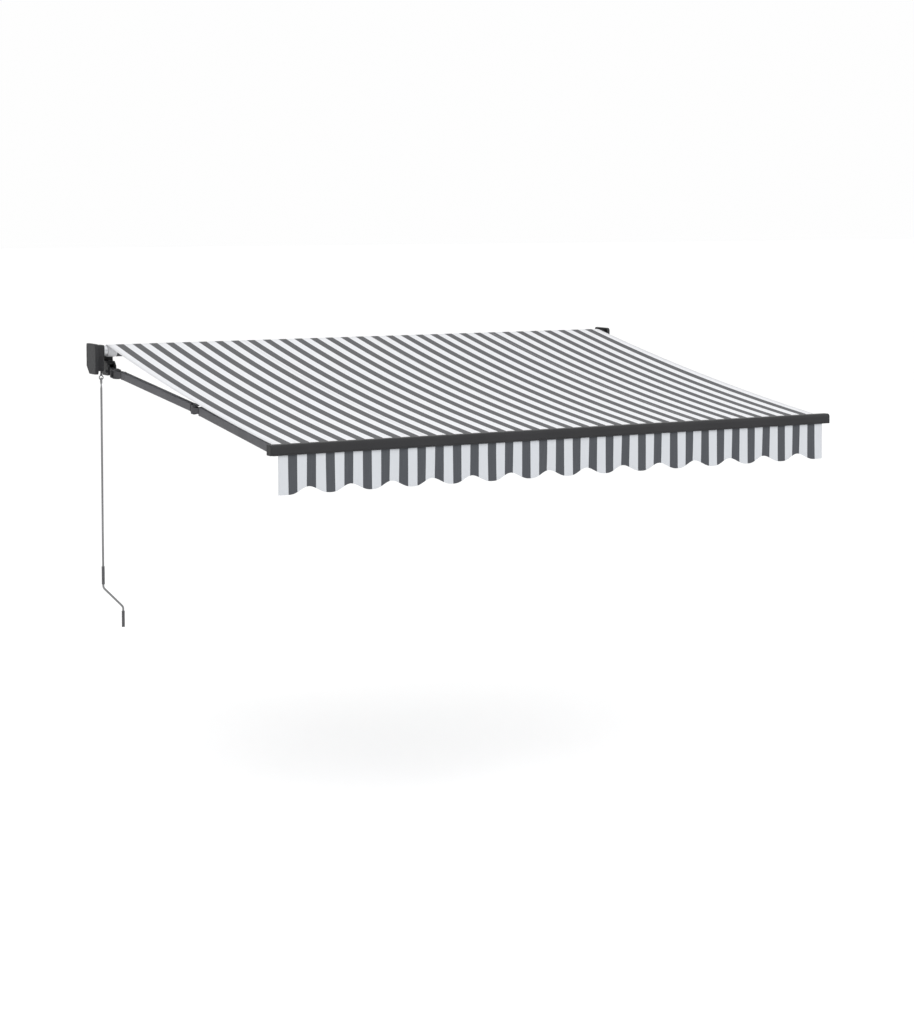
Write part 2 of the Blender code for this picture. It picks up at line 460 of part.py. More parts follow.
cap = [(BAR_REAR, -0.4165), (BAR_REAR - 0.002, BAR_TOP)] + arc(-2.6060, BAR_TOP - 0.018, 0.0180, 90, 180, 6) + [(BAR_FRONT, BAR_BOT + 0.003), (BAR_FRONT + 0.003, BAR_BOT),
       (BAR_REAR - 0.003, BAR_BOT), (BAR_REAR, BAR_BOT + 0.003)]
for tag, x in (("left", -FRONT_OVER + 0.002 - GAP), ("right", FABRIC_W + FRONT_OVER - 0.002 + GAP)):
    outline("front_cap_" + tag, [cap], 0.0040, "black_plastic", place=at(x, 0, 0) @ YZ, bevel=0.0010)
add("canopy_rod", rod(0.0036, W(0.002, cy, cz), W(FABRIC_W - 0.002, cy, cz), 12), "nylon", smooth=True)
add("valance_rod", rod(0.0030, W(0.002, vy, vz), W(FABRIC_W - 0.002, vy, vz), 12), "nylon", smooth=True)

# ---------------------------------------------------------------- cloth
def sheet_z(y):
    """F, height of the canopy's underside line at y: the chord and the sag."""
    t = -y / PROJECTION
    return -DROP * t - 4 * SAG * t * (1 - t) * (1 if t < 1 else 0)


N = 14
start, end = -0.0098, -2.5756
top = []
for i in range(N + 1):
    y = start + (end - start) * i / N
    top.append((y, sheet_z(y)))
rim = []
for i, (y, z) in enumerate(top):
    a, b = top[max(i - 1, 0)], top[min(i + 1, N)]
    d = Vector((b[0] - a[0], b[1] - a[1])).normalized()
    rim.append((y - d.y * CLOTH_T, z + d.x * CLOTH_T) if d.x > 0 else (y + d.y * CLOTH_T, z - d.x * CLOTH_T))
lift = 0.0013
outline("canopy", [[(y, z + lift) for y, z in top] + [(y, z + lift) for y, z in reversed(rim)]], FABRIC_W, "cloth", place=at(MID, 0, 0) @ YZ, smooth=True)

FIRST = (FABRIC_W - 13 * NOTCH_GAP) / 2     # the first notch, in from the valance's edge
V_TOP, V_LOW = -0.4716, BAR_BOT - VALANCE_H


def hem(x):
    """F, height of the valance's lower edge at x: hanging lobes between 14 rounded notches, flat at both ends."""
    k = (x - FIRST) / NOTCH_GAP
    if k < -0.5 or k > 13.5:
        return V_LOW
    return V_LOW + SCALLOP * (0.5 + 0.5 * cos(2 * pi * k)) ** 1.35


steps = []
x = FIRST - NOTCH_GAP / 2
while x <= FABRIC_W - FIRST + NOTCH_GAP / 2 + 1e-6:
    steps.append((x, hem(x)))
    x += NOTCH_GAP / 8
low = [(0.0, V_LOW)] + steps + [(FABRIC_W, V_LOW)]
flat = low + [(FABRIC_W, V_TOP), (0.0, V_TOP)]
outline("valance", [flat], 0.0010, "cloth", place=at(0, vy, 0) @ XZ)
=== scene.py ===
"""The looks of the folding-arm awning: striped cloth, powder coat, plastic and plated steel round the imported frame."""

import json
from math import cos, pi, radians, sin, sqrt

import bmesh
import bpy
from mathutils import Matrix, Vector, noise

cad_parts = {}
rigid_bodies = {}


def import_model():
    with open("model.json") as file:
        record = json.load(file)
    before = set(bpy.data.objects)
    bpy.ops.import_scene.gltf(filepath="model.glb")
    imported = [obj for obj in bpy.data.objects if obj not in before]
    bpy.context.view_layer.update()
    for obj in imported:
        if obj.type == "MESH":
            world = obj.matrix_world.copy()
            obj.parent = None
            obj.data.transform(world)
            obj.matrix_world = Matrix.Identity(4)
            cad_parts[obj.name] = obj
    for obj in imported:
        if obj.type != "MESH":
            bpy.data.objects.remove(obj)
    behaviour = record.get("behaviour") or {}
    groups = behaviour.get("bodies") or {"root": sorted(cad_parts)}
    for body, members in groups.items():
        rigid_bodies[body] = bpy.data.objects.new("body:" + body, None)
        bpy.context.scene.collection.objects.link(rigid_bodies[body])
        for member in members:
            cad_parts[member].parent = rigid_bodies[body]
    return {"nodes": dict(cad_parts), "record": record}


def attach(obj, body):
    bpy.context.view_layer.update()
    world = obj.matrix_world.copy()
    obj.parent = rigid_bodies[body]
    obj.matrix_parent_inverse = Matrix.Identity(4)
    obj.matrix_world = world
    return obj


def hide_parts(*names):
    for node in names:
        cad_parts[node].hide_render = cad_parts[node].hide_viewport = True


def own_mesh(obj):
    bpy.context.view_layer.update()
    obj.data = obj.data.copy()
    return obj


for old in list(bpy.data.objects):
    bpy.data.objects.remove(old, do_unlink=True)

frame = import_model()
NODES = frame["nodes"]
SLOTS = {p["node"]: p["material_slot"] for p in frame["record"]["subparts"]}
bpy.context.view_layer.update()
home = bpy.context.scene.collection

# ---------------------------------------------------------------- the part's driving sizes, in metres
FABRIC_W, PROJECTION, DROP, SAG = 3.80, 2.52, 0.42, 0.032
ROLL_R = 0.039
PITCH = FABRIC_W / 32.5
NOTCH_GAP = 2.25 * PITCH
SCALLOP = 0.040
BAR_BOT, VALANCE_H = -0.475, 0.222
ARM_TILT = radians(6.65)
X0, Y0, Z0 = -FABRIC_W / 2, -0.115, 0.058


def W(x, y, z):
    return Vector((x + X0, y + Y0, z + Z0))


# ---------------------------------------------------------------- camera
cam = bpy.data.cameras.new("camera")
eye = bpy.data.objects.new("camera", cam)
home.objects.link(eye)
bpy.context.scene.camera = eye
eye.location = (-7.3883, -14.4333, 0.9969)
eye.rotation_euler = (radians(90 - 3.8757), 0, radians(-29.5181))
cam.sensor_width, cam.lens = 36.0, 82.139
cam.shift_y = -0.15
cam.clip_start, cam.clip_end = 0.1, 400


# ---------------------------------------------------------------- node helpers
def new_mat(name):
    m = bpy.data.materials.new(name)
    m.use_nodes = True
    t = m.node_tree
    return m, t, t.nodes["Principled BSDF"], t.nodes["Material Output"]


def link(t, a, b):
    t.links.new(a, b)


def coords(t, scale=(1, 1, 1), turn=(0, 0, 0)):
    """The mesh's own coordinates, which are the part's frame at rest, in metres."""
    c = t.nodes.new("ShaderNodeTexCoord")
    m = t.nodes.new("ShaderNodeMapping")
    m.inputs["Scale"].default_value = scale
    m.inputs["Rotation"].default_value = turn
    link(t, c.outputs["Object"], m.inputs["Vector"])
    return m.outputs["Vector"]


def math(t, op, a, b=None, clamp=False):
    n = t.nodes.new("ShaderNodeMath")
    n.operation, n.use_clamp = op, clamp
    for i, v in enumerate((a, b)):
        if v is None:
            continue
        if isinstance(v, (int, float)):
            n.inputs[i].default_value = v
        else:
            link(t, v, n.inputs[i])
    return n.outputs[0]


def noise_tex(t, vec, scale, detail=3.0, rough=0.55):
    n = t.nodes.new("ShaderNodeTexNoise")
    n.inputs["Scale"].default_value = scale
    n.inputs["Detail"].default_value = detail
    n.inputs["Roughness"].default_value = rough
    link(t, vec, n.inputs["Vector"])
    return n.outputs["Fac"]


def ramp(t, fac, stops):
    r = t.nodes.new("ShaderNodeValToRGB")
    e = r.color_ramp.elements
    while len(e) < len(stops):
        e.new(0.5)
    for x, (pos, col) in zip(e, stops):
        x.position = pos
        x.color = (*col, 1) if len(col) == 3 else col
    link(t, fac, r.inputs["Fac"])
    return r.outputs["Color"]


def mix(t, fac, a, b, blend="MIX"):
    n = t.nodes.new("ShaderNodeMix")
    n.data_type, n.blend_type = "RGBA", blend
    for sock, v in ((n.inputs[0], fac), (n.inputs[6], a), (n.inputs[7], b)):
        if isinstance(v, (int, float)):
            sock.default_value = v
        elif isinstance(v, tuple):
            sock.default_value = (*v, 1)
        else:
            link(t, v, sock)
    return n.outputs[2]


def remap(t, fac, a, b, c, d):
    n = t.nodes.new("ShaderNodeMapRange")
    for i, v in enumerate((a, b, c, d)):
        n.inputs[1 + i].default_value = v
    link(t, fac, n.inputs[0])
    return n.outputs[0]


def bump(t, height, strength, distance, normal=None):
    n = t.nodes.new("ShaderNodeBump")
    n.inputs["Strength"].default_value = strength
    n.inputs["Distance"].default_value = distance
    link(t, height, n.inputs["Height"])
    if normal is not None:
        link(t, normal, n.inputs["Normal"])
    return n.outputs["Normal"]


def edge_wear_and_highlight_mask(t, lo=0.50, hi=0.58):
    """A mask that is 1 on outward edges, where the finishes are lightened: partly edge wear, partly a painted highlight
    along the edges.
    """
    g = t.nodes.new("ShaderNodeNewGeometry")
    return remap(t, g.outputs["Pointiness"], lo, hi, 0.0, 1.0)


# ---------------------------------------------------------------- materials of the rigid parts
def powder_coat(name, colour, rough=0.42, grain=0.22, wear_and_highlight=0.35):
    m, t, s, _ = new_mat(name)
    v = coords(t)
    orange = noise_tex(t, v, 900, 2, 0.5)           # orange peel, about 1 mm
    cloud = noise_tex(t, v, 3.2, 4, 0.6)            # faint unevenness over the length
    dust = noise_tex(t, v, 40, 5, 0.65)
    light = tuple(min(1, c * 1.22 + 0.001) for c in colour)
    dark = tuple(c * 0.86 for c in colour)
    base = ramp(t, cloud, [(0.35, dark), (0.65, light)])
    base = mix(t, remap(t, dust, 0.52, 0.80, 0.0, 0.25), base, tuple(min(1, c * 1.6 + 0.008) for c in colour))
    # outward edges lightened: edge wear, and a painted highlight along the edges
    base = mix(t, math(t, "MULTIPLY", edge_wear_and_highlight_mask(t), wear_and_highlight), base, tuple(min(1, c * 2.0 + 0.012) for c in colour))
    link(t, base, s.inputs["Base Color"])
    link(t, remap(t, dust, 0.3, 0.7, rough - 0.05, rough + 0.08), s.inputs["Roughness"])
    s.inputs["Specular IOR Level"].default_value = 0.16
    link(t, bump(t, orange, grain, 0.0004), s.inputs["Normal"])
    return m


def plastic(name, colour, rough=0.48):
    m, t, s, _ = new_mat(name)
    v = coords(t)
    grain = noise_tex(t, v, 1500, 3, 0.6)
    flow = noise_tex(t, v, 18, 4, 0.6)
    base = ramp(t, flow, [(0.3, tuple(c * 0.8 for c in colour)), (0.7, tuple(min(1, c * 1.3 + 0.001) for c in colour))])
    # outward edges lightened: edge wear, and a painted highlight along the edges
    base = mix(t, math(t, "MULTIPLY", edge_wear_and_highlight_mask(t), 0.4), base, tuple(min(1, c * 2.2 + 0.015) for c in colour))
    link(t, base, s.inputs["Base Color"])
    link(t, remap(t, flow, 0.3, 0.7, rough - 0.06, rough + 0.10), s.inputs["Roughness"])
    s.inputs["Specular IOR Level"].default_value = 0.20
    link(t, bump(t, grain, 0.35, 0.0003), s.inputs["Normal"])
    return m


def plated(name, colour, rough=0.34, along=(1, 1, 40)):
    m, t, s, _ = new_mat(name)
    brush = noise_tex(t, coords(t, along), 90, 4, 0.6)
    spots = noise_tex(t, coords(t), 65, 5, 0.7)
    base = ramp(t, spots, [(0.35, tuple(c * 0.86 for c in colour)), (0.7, tuple(min(1, c * 1.10) for c in colour))])
    link(t, base, s.inputs["Base Color"])
    s.inputs["Metallic"].default_value = 1.0
    link(t, remap(t, brush, 0.3, 0.7, rough - 0.09, rough + 0.12), s.inputs["Roughness"])
    link(t, bump(t, brush, 0.18, 0.0002), s.inputs["Normal"])
    return m


FINISH = {
    "frame_powder_coat": powder_coat("frame_powder_coat", (0.017, 0.0174, 0.0187), rough=0.46),
    "arm_powder_coat": powder_coat("arm_powder_coat", (0.074, 0.074, 0.080), rough=0.50, wear_and_highlight=0.15),
    "front_bar_coat": powder_coat("front_bar_coat", (0.0135, 0.0135, 0.0147), rough=0.46, wear_and_highlight=0.4),
    "black_plastic": plastic("black_plastic", (0.009, 0.009, 0.0102)),
    "zinc_steel": plated("zinc_steel", (0.40, 0.405, 0.415)),
    "roller_steel": plated("roller_steel", (0.70, 0.71, 0.73), rough=0.40, along=(1, 30, 30)),
    "nylon": plastic("nylon", (0.62, 0.60, 0.54), rough=0.40),
    "crank_coat": powder_coat("crank_coat", (0.155, 0.155, 0.160), rough=0.42, wear_and_highlight=0.2),
}
CASTINGS = powder_coat("casting_coat", (0.050, 0.050, 0.054), rough=0.50, wear_and_highlight=0.2)
BLACKENED = plated("blackened_steel", (0.085, 0.086, 0.090), rough=0.42)
GRIP = plastic("grip_plastic", (0.070, 0.070, 0.074), rough=0.55)


# ---------------------------------------------------------------- cloth material
LIGHT, DARK = (0.805, 0.812, 0.834), (0.098, 0.100, 0.106)


def cloth(name, along_axis, seams=True, rough=0.86, light=LIGHT, dark=DARK, glow=0.20):
    """Block-striped awning cloth. The stripes go by X; along_axis is the other axis of the weave (1 for Y, 2 for Z)."""
    m, t, s, out = new_mat(name)
    c = t.nodes.new("ShaderNodeTexCoord")
    sep = t.nodes.new("ShaderNodeSeparateXYZ")
    link(t, c.outputs["Object"], sep.inputs[0])
    x, other = sep.outputs[0], sep.outputs[along_axis]
    # the stripe: a dark band centred at (0.7525 + k) pitches from the left edge, 0.485 of a pitch wide
    phase = math(t, "FRACT", math(t, "DIVIDE", math(t, "ADD", x, FABRIC_W / 2 - (0.7525 - 0.5) * PITCH + 40 * PITCH), PITCH))
    off = math(t, "ABSOLUTE", math(t, "SUBTRACT", phase, 0.5))
    stripe = remap(t, off, 0.2425 - 0.004, 0.2425 + 0.004, 1.0, 0.0)
    # yarns: warp and weft about 0.55 mm apart
    yarn = 0.00055
    warp = math(t, "SINE", math(t, "MULTIPLY", x, 2 * pi / yarn))
    weft = math(t, "SINE", math(t, "MULTIPLY", other, 2 * pi / yarn))
    weave = math(t, "MULTIPLY", warp, weft)
    obj = c.outputs["Object"]
    slub = noise_tex(t, obj, 260, 3, 0.6)
    streak_map = t.nodes.new("ShaderNodeMapping")
    streak_map.inputs["Scale"].default_value = (60, 2.2, 2.2)
    link(t, obj, streak_map.inputs["Vector"])
    streak = noise_tex(t, streak_map.outputs[0], 3.0, 4, 0.6)      # long faint streaks along the run of the cloth
    stain = noise_tex(t, obj, 1.7, 5, 0.6)                         # broad, very faint weathering
    pale = ramp(t, streak, [(0.30, tuple(v * 0.962 for v in light)), (0.70, light)])
    pale = mix(t, remap(t, stain, 0.50, 0.78, 0.0, 0.10), pale, (0.70, 0.70, 0.68))
    deep = ramp(t, streak, [(0.30, tuple(v * 0.88 for v in dark)), (0.70, tuple(v * 1.10 for v in dark))])
    deep = mix(t, remap(t, slub, 0.55, 0.75, 0.0, 0.25), deep, tuple(v * 1.35 for v in dark))
    base = mix(t, stripe, pale, deep)
    base = mix(t, remap(t, weave, -1.0, 1.0, 0.05, 0.0), base, (0.35, 0.35, 0.36))
    height = math(t, "ADD", math(t, "MULTIPLY", weave, 0.5), math(t, "MULTIPLY", slub, 0.6))
    normal = bump(t, height, 0.25, 0.0002)
    if seams:
        # three overlapped panel seams, glued and sewn, and a hem down each side
        lap = None
        for place in (-0.9 - 0.03, 0.0 + 0.03, 0.9 + 0.09):
            d = math(t, "ABSOLUTE", math(t, "SUBTRACT", x, place))
            one = remap(t, d, 0.0090, 0.0098, 1.0, 0.0)
            sew = remap(t, math(t, "ABSOLUTE", math(t, "SUBTRACT", d, 0.0065)), 0.0005, 0.0008, 1.0, 0.0)
            lap = (one, sew) if lap is None else (math(t, "MAXIMUM", lap[0], one), math(t, "MAXIMUM", lap[1], sew))
        d = math(t, "SUBTRACT", FABRIC_W / 2, math(t, "ABSOLUTE", x))
        hem = remap(t, d, 0.0190, 0.0198, 1.0, 0.0)
        sew = remap(t, math(t, "ABSOLUTE", math(t, "SUBTRACT", d, 0.0165)), 0.0005, 0.0008, 1.0, 0.0)
        over = math(t, "MAXIMUM", lap[0], hem)
        stitch = math(t, "MAXIMUM", lap[1], sew)
        dash = math(t, "GREATER_THAN", math(t, "FRACT", math(t, "DIVIDE", math(t, "ADD", other, 40.0), 0.0042)), 0.30)
        stitch = math(t, "MULTIPLY", stitch, dash)
        base = mix(t, math(t, "MULTIPLY", over, 0.10), base, (0.30, 0.30, 0.31))
        base = mix(t, math(t, "MULTIPLY", stitch, 0.75), base, (0.62, 0.62, 0.62))
        normal = bump(t, math(t, "ADD", over, math(t, "MULTIPLY", stitch, 0.5)), 0.8, 0.0005, normal)
    link(t, base, s.inputs["Base Color"])
    s.inputs["Roughness"].default_value = rough
    s.inputs["Sheen Weight"].default_value = 0.10
    s.inputs["Sheen Roughness"].default_value = 0.5
    s.inputs["Specular IOR Level"].default_value = 0.18
    link(t, normal, s.inputs["Normal"])
    if glow:
        tr = t.nodes.new("ShaderNodeBsdfTranslucent")
        link(t, base, tr.inputs["Color"])
        mx = t.nodes.new("ShaderNodeMixShader")
        mx.inputs[0].default_value = glow
        link(t, s.outputs[0], mx.inputs[1])
        link(t, tr.outputs[0], mx.inputs[2])
        link(t, mx.outputs[0], out.inputs["Surface"])
    return m


CANOPY = cloth("canopy_cloth", 1)
# the valance is the canopy's cloth, with its light and dark stripe colours painted darker and bluer: painted shade on
# the hanging sheet
VALANCE_SHADED_CLOTH = cloth("valance_painted_shade_cloth", 2, seams=False, light=(0.560, 0.580, 0.610), dark=(0.062, 0.067, 0.076), glow=0.10)
THREAD = new_mat("thread")[0]
t = THREAD.node_tree
tw = noise_tex(t, coords(t, (1, 1, 1)), 1800, 2, 0.5)
link(t, ramp(t, tw, [(0.3, (0.40, 0.40, 0.41)), (0.7, (0.62, 0.62, 0.63))]), t.nodes["Principled BSDF"].inputs["Base Color"])
t.nodes["Principled BSDF"].inputs["Roughness"].default_value = 0.7

# ---------------------------------------------------------------- carried-over solids: finish and softened edges
SMOOTH_ALREADY = {"roller_tube", "canopy_rod", "valance_rod", "arm_spring_left", "arm_spring_right", "torsion_bar", "front_bar"}
for name, o in NODES.items():
    o.data.materials.clear()
    finish = FINISH.get(SLOTS[name], CANOPY)
    if name in ("crank_sleeve", "crank_handle"):
        finish = GRIP
    elif name.startswith(("elbow_fork", "elbow_eye", "shoulder_eye", "shoulder_head", "front_eye", "front_bracket")):
        finish = CASTINGS
    elif name.startswith(("elbow_pin", "shoulder_pin", "front_pin", "worm_shaft", "tilt_")):
        finish = BLACKENED
    o.data.materials.append(finish)
    o.data.shade_smooth()
    o.data.set_sharp_from_angle(angle=radians(32))
    if name in ("canopy", "valance", "fabric_roll", "worm_shaft", "worm_wheel"):
        continue
    if name not in SMOOTH_ALREADY and "pin" not in name and "bolt" not in name and "cable" not in name:
        b = o.modifiers.new("soft_edge", "BEVEL")
        b.width, b.segments, b.limit_method, b.angle_limit = 0.0005, 2, "ANGLE", radians(38)
        b.use_clamp_overlap = True
        b.harden_normals = False


# ---------------------------------------------------------------- piece helpers
def piece(name, bm, mat, body, parent_done=False):
    me = bpy.data.meshes.new(name)
    bmesh.ops.recalc_face_normals(bm, faces=bm.faces)
    bm.to_mesh(me)
    bm.free()
    o = bpy.data.objects.new(name, me)
    home.objects.link(o)
    me.materials.append(mat)
    me.shade_smooth()
    me.set_sharp_from_angle(angle=radians(35))
    if body:
        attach(o, body)
    return o


def sweep(bm, path, radius, n=8, closed=False):
    """A tube along a path of points, with closed ends."""
    rings = []
    count = len(path)
    up = None
    for i, p in enumerate(path):
        a = path[(i - 1) % count] if closed or i else path[0]
        b = path[(i + 1) % count] if closed or i < count - 1 else path[-1]
        d = (b - a).normalized()
        if up is None:
            up = Vector((0, 0, 1)) if abs(d.z) < 0.9 else Vector((1, 0, 0))
        side = d.cross(up).normalized()
        up = side.cross(d).normalized()
        r = radius(i / max(count - 1, 1)) if callable(radius) else radius
        rings.append([bm.verts.new(p + (side * cos(2 * pi * k / n) + up * sin(2 * pi * k / n)) * r) for k in range(n)])
    last = count if closed else count - 1
    for i in range(last):
        a, b = rings[i], rings[(i + 1) % count]
        for k in range(n):
            bm.faces.new((a[k], a[(k + 1) % n], b[(k + 1) % n], b[k]))
    if not closed:
        bm.faces.new(rings[0][::-1])
        bm.faces.new(rings[-1])
    return bm


def lathe(bm, origin, axis, profile, n=24):
    """A turned piece: profile is (distance along axis, radius) pairs, closed on the axis at both ends."""
    axis = Vector(axis).normalized()
    u = axis.orthogonal().normalized()
    v = axis.cross(u)
    rings = []
    for d, r in profile:
        rings.append([bm.verts.new(Vector(origin) + axis * d + (u * cos(2 * pi * k / n) + v * sin(2 * pi * k / n)) * r) for k in range(n)])
    for a, b in zip(rings, rings[1:]):
        for k in range(n):
            bm.faces.new((a[k], a[(k + 1) % n], b[(k + 1) % n], b[k]))
    bm.faces.new(rings[0][::-1])
    bm.faces.new(rings[-1])
    return bm


# ---------------------------------------------------------------- canopy
def chord_z(y):
    s = -y / PROJECTION
    return -DROP * s - (4 * SAG * s * (1 - s) if 0 < s < 1 else 0)


RUN = 84
path = []
for i in range(7):                                   # off the roll: the last of its turns, lifting at the tangent
    a = radians(62 + 28 * i / 6)
    path.append((cos(a) * (ROLL_R + 0.0007), -ROLL_R + sin(a) * (ROLL_R + 0.0007)))
y_start, y_end = -0.0100, -2.5758
for i in range(RUN + 1):
    y = y_start + (y_end - y_start) * i / RUN
    path.append((y, chord_z(y) + 0.0019))
COLS = 130
bm = bmesh.new()
grid = []
for i in range(COLS + 1):
    x = FABRIC_W * i / COLS
    row = []
    for j, (y, z) in enumerate(path):
        s = min(max(-y / PROJECTION, 0), 1)
        hang = sin(pi * s)
        u = x / FABRIC_W
        # slack that the pull of the bar leaves: soft troughs along the run, and drawn lines from the corners
        ripple = 0.0016 * noise.noise(Vector((x * 2.3, y * 0.55, 3.1))) + 0.0007 * noise.noise(Vector((x * 7.0, y * 0.8, 9.4)))
        edge = min(u, 1 - u) * FABRIC_W
        curl = 0.0035 * (2.718 ** (-edge / 0.05)) * hang
        middle = -0.006 * hang * sin(pi * u) ** 0.6
        row.append(bm.verts.new(W(x, y, z + (ripple * min(1, hang * 2.2) + curl + middle))))
    grid.append(row)
for a, b in zip(grid, grid[1:]):
    for j in range(len(path) - 1):
        bm.faces.new((a[j], b[j], b[j + 1], a[j + 1]))
canopy = piece("canopy_sheet", bm, CANOPY, "wall_frame")
sol = canopy.modifiers.new("cloth_thickness", "SOLIDIFY")
sol.thickness, sol.offset = 0.0008, 0.0
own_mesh(canopy)
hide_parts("canopy")

# ---------------------------------------------------------------- wound cloth
bm = bmesh.new()
turns, per = 3, 44
prof = []
spiral = []
for k in range(turns * per + 1):
    a = 2 * pi * k / per + radians(62)
    spiral.append((a, 0.03545 + (ROLL_R - 0.03545 - 0.0001) * k / (turns * per)))
ends = (0.0, FABRIC_W)
cols = [0.0] + [FABRIC_W * i / 40 for i in range(1, 40)] + [FABRIC_W]
rows = []
for x in cols:
    row = []
    for a, r in spiral:
        # each turn lands a touch to one side of the last, as wound cloth does
        drift = 0.0016 * sin(a * 0.5) if x in ends else 0
        wob = 0.00025 * noise.noise(Vector((x * 5, a, 1.7)))
        row.append(bm.verts.new(W(x + (drift if x == 0 else -drift if x == FABRIC_W else 0), cos(a) * (r + wob), -ROLL_R + sin(a) * (r + wob))))
    rows.append(row)
for a, b in zip(rows, rows[1:]):
    for j in range(len(spiral) - 1):
        bm.faces.new((a[j], b[j], b[j + 1], a[j + 1]))
roll = piece("wound_cloth", bm, CANOPY, "roller")
sol = roll.modifiers.new("cloth_thickness", "SOLIDIFY")
sol.thickness, sol.offset = 0.0007, 0.0
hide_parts("fabric_roll")

# ---------------------------------------------------------------- valance
FIRST = (FABRIC_W - 13 * NOTCH_GAP) / 2
V_TOP, V_LOW = -0.4716, BAR_BOT - VALANCE_H
VY = -2.6120


def hem_z(x):
    k = (x - FIRST) / NOTCH_GAP
    if k < -0.5 or k > 13.5:
        return V_LOW
    return V_LOW + SCALLOP * (0.5 + 0.5 * cos(2 * pi * k)) ** 1.35


def swing(x, drop):
    """How far the hanging cloth stands off its plane: soft flutes that grow towards the hem."""
    k = (x - FIRST) / NOTCH_GAP
    grow = min(max(drop, 0), 1) ** 1.3
    return grow * (0.0052 * cos(2 * pi * k) + 0.0034 * noise.noise(Vector((x * 3.1, drop * 0.8, 5.5))) + 0.0016 * noise.noise(Vector((x * 11, drop * 1.5, 2.2))))


bm = bmesh.new()
VC, VR = 416, 26
vg = []
for i in range(VC + 1):
    x = FABRIC_W * i / VC
    low = hem_z(x)
    row = []
    for j in range(VR + 1):
        drop = j / VR
        z = V_TOP + (low - V_TOP) * drop
        row.append(bm.verts.new(W(x, VY + swing(x, drop), z)))
    vg.append(row)
for a, b in zip(vg, vg[1:]):
    for j in range(VR):
        bm.faces.new((a[j], b[j], b[j + 1], a[j + 1]))
valance = piece("valance_sheet", bm, VALANCE_SHADED_CLOTH, "front_bar")
sol = valance.modifiers.new("cloth_thickness", "SOLIDIFY")
sol.thickness, sol.offset = 0.0008, 0.0
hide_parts("valance")

# binding tape folded over the scalloped edge
bm = bmesh.new()
line = []
for i in range(VC * 2 + 1):
    x = FABRIC_W * i / (VC * 2)
    line.append(Vector((x, 0, hem_z(x))))
tape_w, tape_t = 0.0110, 0.0009
profile_rows = []
for i, p in enumerate(line):
    a, b = line[max(i - 1, 0)], line[min(i + 1, len(line) - 1)]
    d = (b - a).normalized()
    nrm = Vector((-d.z, 0, d.x))                      # upwards, away from the edge
    row = []
    for off, side in ((tape_w, -1), (tape_w * 0.4, -1.15), (0.0004, -0.95), (-0.0006, 0.0), (0.0004, 0.95), (tape_w * 0.4, 1.15), (tape_w, 1)):
        q = p + nrm * off
        drop = (V_TOP - q.z) / (V_TOP - hem_z(p.x))
        row.append(bm.verts.new(W(min(max(q.x, 0.0), FABRIC_W), VY + swing(min(max(q.x, 0.0), FABRIC_W), drop) + side * tape_t, q.z)))
    profile_rows.append(row)
for a, b in zip(profile_rows, profile_rows[1:]):
    for j in range(6):
        bm.faces.new((a[j], b[j], b[j + 1], a[j + 1]))
    bm.faces.new((a[6], b[6], b[0], a[0]))
bm.faces.new(profile_rows[0])
bm.faces.new(profile_rows[-1][::-1])
binding = piece("valance_binding", bm, VALANCE_SHADED_CLOTH, "front_bar")

# ---------------------------------------------------------------- worm thread, on the plain worm
bm = bmesh.new()
cx, cyy = -0.056, -0.044
helix = []
for k in range(0, 161):
    a = 2 * pi * k / 32
    helix.append(W(cx + 0.0076 * cos(a), cyy + 0.0076 * sin(a), -0.0640 + 0.0500 * k / 160))
sweep(bm, helix, 0.0007, 6)
piece("worm_thread", bm, BLACKENED, "crank")

# ---------------------------------------------------------------- end plates: raised rim bead and screws
for tag, s in (("left", -1), ("right", 1)):
    edge = 0 if s < 0 else FABRIC_W
    face = edge + s * (0.100 if s < 0 else 0.062)
    bm = bmesh.new()
    for yy, zz in ((-0.044, -0.012), (0.086, -0.012), (-0.044, -0.150), (0.060, -0.116)):
        start = W(face + s * 0.0001, yy, zz)
        lathe(bm, start, (s, 0, 0), [(-0.0030, 0.0042), (0.0004, 0.0046), (0.0012, 0.0044), (0.0020, 0.0032), (0.0022, 0.0018), (0.0012, 0.0014)], 16)
    piece("end_screws_" + tag, bm, BLACKENED, "wall_frame")
    bm = bmesh.new()
    # a moulded bead that follows the plate's edge
    bead = []
    Y_0, Y_1, Z_0, Z_1, i_ = -0.064, 0.104, -0.188, 0.009, 0.0075
    for cy_, cz_, r_, a0, a1, n_ in ((Y_1 - 0.012, Z_1 - 0.012, 0.012 - i_, 0, 90, 4), (Y_0 + 0.020, Z_1 - 0.020, 0.020 - i_, 90, 180, 6), (Y_0 + 0.016, Z_0 + 0.016, 0.016 - i_, 180, 270, 6)):
        for q in range(n_ + 1):
            a = radians(a0 + (a1 - a0) * q / n_)
            bead.append(W(face, cy_ + r_ * cos(a), cz_ + r_ * sin(a)))
    bead += [W(face, Y_1 - 0.050 - 0.4 * i_, Z_0 + i_), W(face, Y_1 - i_, Z_0 + 0.050 + 0.4 * i_)]
    sweep(bm, bead, 0.0012, 6, closed=True)
    piece("end_bead_" + tag, bm, FINISH["frame_powder_coat"], "wall_frame")

# ---------------------------------------------------------------- grips: ribbed mouldings over the plain sleeves
for name, body, x, za, zb in (("crank_sleeve", "sleeve", 0.0, -1.4420, -1.5600), ("crank_handle", "handle", 0.136, -1.7460, -1.8520)):
    bm = bmesh.new()
    prof = [(0.0, 0.0078)]
    n = 13
    length = za - zb
    prof += [(0.0, 0.0093), (0.0012, 0.0101), (0.006, 0.0102)]
    for k in range(n):
        d = 0.010 + (length - 0.020) * k / (n - 1)
        prof += [(d - 0.0021, 0.0102), (d - 0.0012, 0.0096), (d + 0.0012, 0.0096), (d + 0.0021, 0.0102)]
    prof += [(length - 0.006, 0.0102), (length - 0.0012, 0.0101), (length, 0.0093), (length, 0.0078)]
    lathe(bm, W(-0.056 + x, -0.044, za), (0, 0, -1), prof, 28)
    g = piece(name + "_moulding", bm, GRIP, body)
    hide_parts(name)

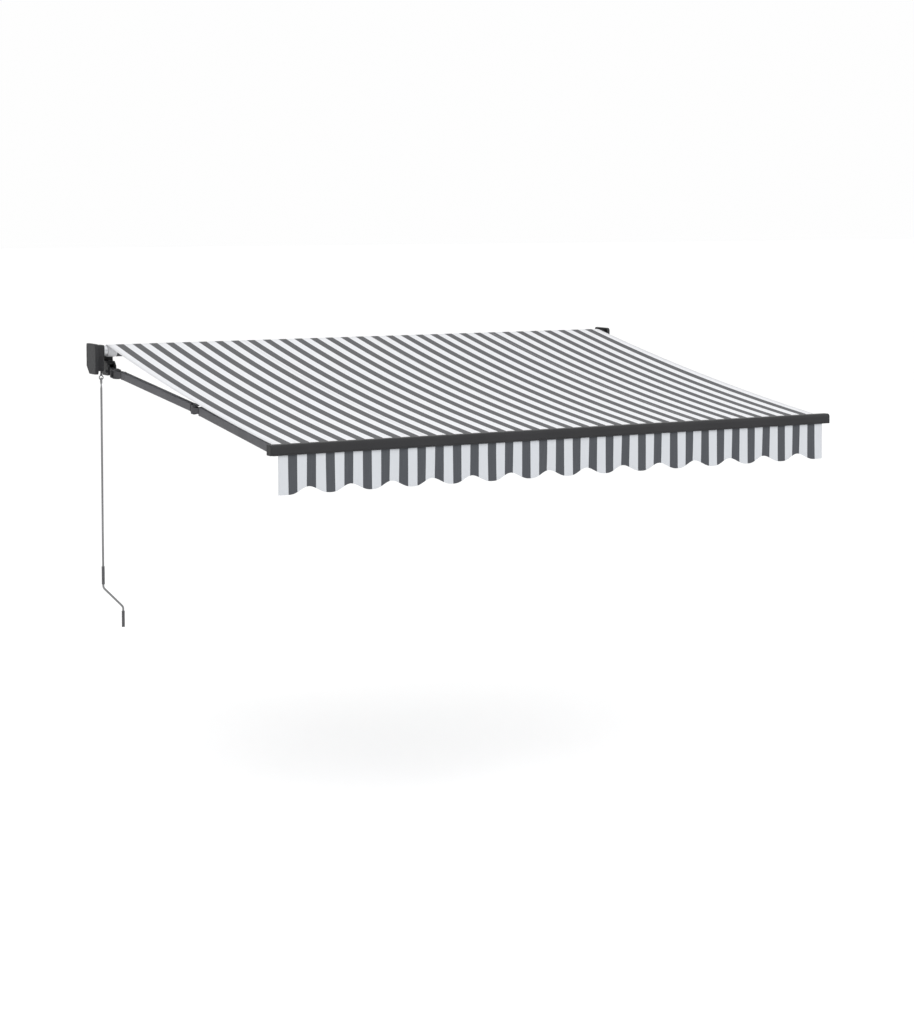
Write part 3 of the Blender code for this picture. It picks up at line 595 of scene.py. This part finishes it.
# ---------------------------------------------------------------- arm details: weld-free end rings at the profiles' mouths
HALF, BEND = 1.198543, radians(1.6256)
for tag, s in (("left", 1), ("right", -1)):
    sx = 0.030 if s > 0 else FABRIC_W - 0.030
    up = Matrix.Translation(W(sx, -0.100, -0.186)) @ Matrix.Rotation(ARM_TILT, 4, "X") @ Matrix.Rotation(s * BEND, 4, "Z")
    el = up @ Matrix.Translation((0, -HALF, 0))
    fa = Matrix.Translation(el.translation) @ Matrix.Rotation(ARM_TILT, 4, "X") @ Matrix.Rotation(-s * BEND, 4, "Z")
    for key, base, w, h, body in (("upper", up, 0.036, 0.050, "upper_arm_"), ("fore", fa, 0.034, 0.055, "forearm_")):
        bm = bmesh.new()
        for y in (-0.0640, -(HALF - 0.0640)):
            ringp = []
            r = 0.0078
            for sx_, sy_, a0 in ((1, 1, 0), (-1, 1, 90), (-1, -1, 180), (1, -1, 270)):
                for q in range(5):
                    a = radians(a0 + 90 * q / 4)
                    ringp.append(base @ Vector((s * 0.0205 + sx_ * (w / 2 + 0.0004 - r) + r * cos(a), y, sy_ * (h / 2 + 0.0004 - r) + r * sin(a))))
            sweep(bm, ringp, 0.0016, 6, closed=True)
        piece(key + "_arm_collars_" + tag, bm, FINISH["frame_powder_coat"], body + tag)

# ---------------------------------------------------------------- floor, light and world
FLOOR_Z = -2.75
bm = bmesh.new()
bmesh.ops.create_grid(bm, x_segments=1, y_segments=1, size=160)
floor = piece("floor", bm, new_mat("floor")[0], None)
floor.location = (0, 0, FLOOR_Z)
t = floor.data.materials[0].node_tree
s = t.nodes["Principled BSDF"]
cloud = noise_tex(t, coords(t), 0.4, 3, 0.5)
link(t, ramp(t, cloud, [(0.3, (0.94, 0.94, 0.94)), (0.7, (0.96, 0.96, 0.96))]), s.inputs["Base Color"])
s.inputs["Roughness"].default_value = 0.9
s.inputs["Specular IOR Level"].default_value = 0.1
# the floor glows faintly: painted light that lifts the floor and fills the shadow cast on it
s.inputs["Emission Color"].default_value = (1, 1, 1, 1)
s.inputs["Emission Strength"].default_value = 0.08

world = bpy.data.worlds.new("studio")
bpy.context.scene.world = world
world.use_nodes = True
world.node_tree.nodes["Background"].inputs["Color"].default_value = (1, 1, 1, 1)
world.node_tree.nodes["Background"].inputs["Strength"].default_value = 0.99


def area_light(name, where, target, size, power):
    l = bpy.data.lights.new(name, "AREA")
    l.shape, l.size, l.energy = "DISK", size, power
    o = bpy.data.objects.new(name, l)
    home.objects.link(o)
    o.location = where
    o.rotation_euler = (Vector(target) - Vector(where)).to_track_quat("-Z", "Y").to_euler()
    return o


area_light("key", (-4.5, -9.0, 8.5), (0, -1.4, -0.2), 9.0, 560)
area_light("fill", (7.5, -8.0, 4.0), (0, -1.4, -0.2), 6.0, 180)

bpy.context.scene.view_settings.view_transform = "Standard"
bpy.context.view_layer.update()
